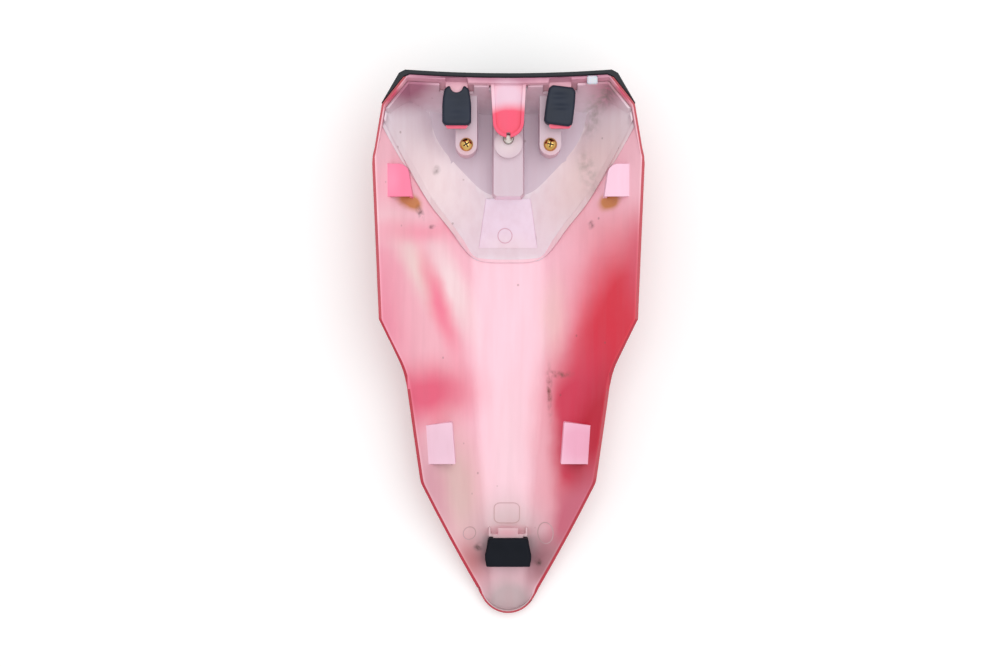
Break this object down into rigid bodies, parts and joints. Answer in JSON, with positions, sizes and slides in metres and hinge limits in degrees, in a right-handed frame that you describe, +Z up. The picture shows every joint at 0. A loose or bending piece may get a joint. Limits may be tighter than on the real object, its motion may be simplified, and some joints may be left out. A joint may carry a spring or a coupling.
{
  "type": "seat cowl",
  "caption": "Motorbike seat cowl on its back: painted hull-shaped shell with side hooks, a pale inner panel in its hump and rubber-booted tongues.",
  "frame": {"origin": "middle of the bounding box in plan, on the floor that the spine rests on", "axes": "+Y to the front of the cowl, +Z up out of its open underside, +X to the right as the picture shows it"},
  "size_m": [0.2104, 0.4288, 0.0888],
  "materials": {
    "shell_paint": "red gloss paint outside, unpainted pink inside with overspray",
    "panel_plastic": "bare pale moulding",
    "pad_rubber": "black satin",
    "boot_rubber": "black satin",
    "yellow_zinc": "yellow-passivated zinc on steel",
    "bright_steel": "bright steel",
    "nylon": "natural nylon"
  },
  "bodies": {
    "root": {"cowl_shell": "shell_paint", "inner_panel": "panel_plastic", "bump_pad": "pad_rubber", "left_boot": "boot_rubber", "right_boot": "boot_rubber", "rear_boot": "boot_rubber", "panel_screws": "yellow_zinc", "lock_pin": "bright_steel", "pad_peg": "nylon"}
  },
  "joints": []
}
